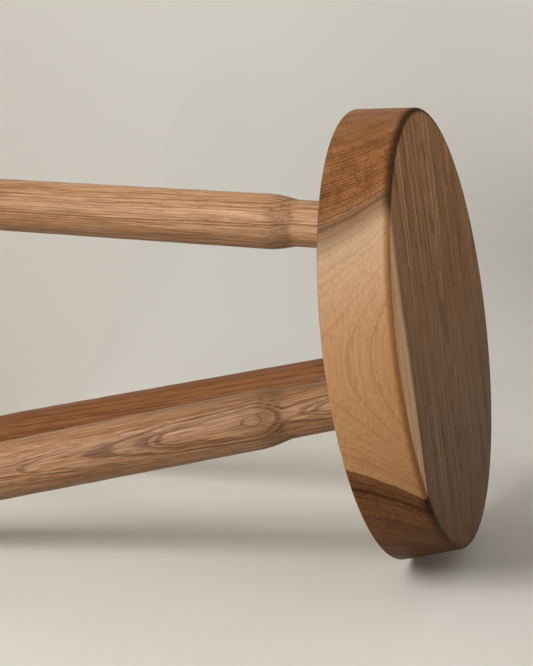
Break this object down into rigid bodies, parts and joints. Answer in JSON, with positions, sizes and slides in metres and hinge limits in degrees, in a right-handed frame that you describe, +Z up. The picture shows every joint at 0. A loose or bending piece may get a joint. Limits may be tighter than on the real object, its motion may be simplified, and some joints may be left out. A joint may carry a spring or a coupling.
{
  "type": "milking stool",
  "caption": "Low round wooden milking stool: a thick seat board on splayed turned legs, each leg socketed blind into the underside.",
  "frame": {"origin": "centre of the stool's bounding box on the floor, in the plane of the three soles; the seat's own centre stands 8.73 mm along +Y of it", "axes": "+Z up; -Y towards the front leg, +Y between the two rear legs, +X towards the right rear leg; the seat's grain runs along Y"},
  "size_m": [0.3, 0.3174, 0.46],
  "materials": {
    "walnut_seat": "oiled satin walnut, plain-sawn, with a band of pale sapwood along one edge",
    "walnut_leg": "oiled satin walnut, turned, grain along the leg",
    "wedge_wood": "raw split hardwood"
  },
  "bodies": {
    "root": {"seat": "walnut_seat", "leg_front": "walnut_leg", "leg_left": "walnut_leg", "leg_right": "walnut_leg", "wedge_front": "wedge_wood", "wedge_left": "wedge_wood", "wedge_right": "wedge_wood"}
  },
  "joints": []
}
